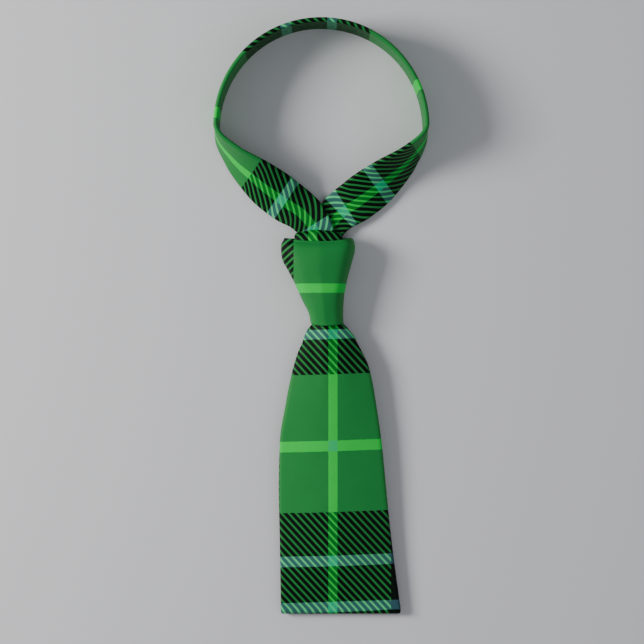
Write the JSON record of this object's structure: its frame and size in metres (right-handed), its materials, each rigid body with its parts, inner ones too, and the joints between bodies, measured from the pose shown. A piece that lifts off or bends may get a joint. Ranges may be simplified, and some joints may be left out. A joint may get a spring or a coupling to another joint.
{
  "type": "necktie",
  "caption": "Tartan silk necktie tied in a four-in-hand knot, blade folded under at the hem, with its neck loop.",
  "frame": {"origin": "middle of the flat back of the knot, on the surface that the tie lies on", "axes": "+Y up the tie from the blade to the neck, +X to the right seen from the front, +Z out of the front"},
  "size_m": [0.1429, 0.3999, 0.036],
  "materials": {
    "tartan_silk": "woven tartan silk twill, soft sheen",
    "interlining": "brushed wool interlining, unbleached",
    "tip_lining": "black-green acetate satin lining",
    "label_cloth": "blank woven label, black",
    "care_cloth": "blank white satin label",
    "thread": "green sewing thread"
  },
  "bodies": {
    "knot": {"knot_back_wrap": "tartan_silk", "knot_front_wrap": "tartan_silk", "knot_inner_wrap": "tartan_silk", "knot_blade_gather": "tartan_silk", "knot_top_bridge": "tartan_silk"},
    "front_blade": {"front_blade_shell": "tartan_silk", "front_blade_interlining": "interlining", "front_hem_fold": "tartan_silk", "keeper_loop": "tartan_silk", "maker_label": "label_cloth", "care_label": "care_cloth", "label_stitches": "thread", "front_bar_tack": "thread", "front_slip_stitches": "thread"},
    "front_tip": {"front_tip_shell": "tartan_silk", "front_tip_interlining": "interlining", "front_tip_lining": "tip_lining"},
    "tail": {"tail_shell": "tartan_silk", "tail_interlining": "interlining", "tail_hem_fold": "tartan_silk"},
    "tail_end": {"tail_end_shell": "tartan_silk", "tail_end_interlining": "interlining", "tail_end_lining": "tip_lining"},
    "neck_legs": {"left_leg_root": "tartan_silk", "right_leg_root": "tartan_silk"},
    "neck_loop": {"left_leg_shell": "tartan_silk", "left_leg_interlining": "interlining", "right_leg_shell": "tartan_silk", "right_leg_interlining": "interlining", "neck_back_shell": "tartan_silk", "neck_back_interlining": "interlining"}
  },
  "joints": [
    {"name": "blade_lift", "type": "hinge", "parent": "knot", "child": "front_blade", "pos_m": [0, -0.0263, 0.0172], "axis": [-1, 0, 0], "range_deg": [0, 75]},
    {"name": "tip_fold", "type": "hinge", "parent": "front_blade", "child": "front_tip", "pos_m": [0.0092, -0.219, 0.0034], "axis": [-1, 0, 0], "range_deg": [0, 180], "deforming": ["front_hem_fold"]},
    {"name": "loop_slide", "type": "slide", "parent": "knot", "child": "neck_legs", "axis": [0, 1, 0], "range_m": [0, 0.015]},
    {"name": "tail_slide", "type": "slide", "parent": "knot", "child": "tail", "axis": [0, 1, 0], "range_m": [0, 0.03]},
    {"name": "tail_fold", "type": "hinge", "parent": "tail", "child": "tail_end", "pos_m": [0.004, -0.1552, 0.0026], "axis": [-1, 0, 0], "range_deg": [0, 150], "deforming": ["tail_hem_fold"]},
    {"name": "loop_tilt", "type": "hinge", "parent": "neck_legs", "child": "neck_loop", "pos_m": [-0.00425, 0.0385, 0.0083], "axis": [1, 0, 0], "range_deg": [0, 70]}
  ],
  "couplings": [
    {"joint": "tail_slide", "follows": "loop_slide", "ratio": 2}
  ]
}
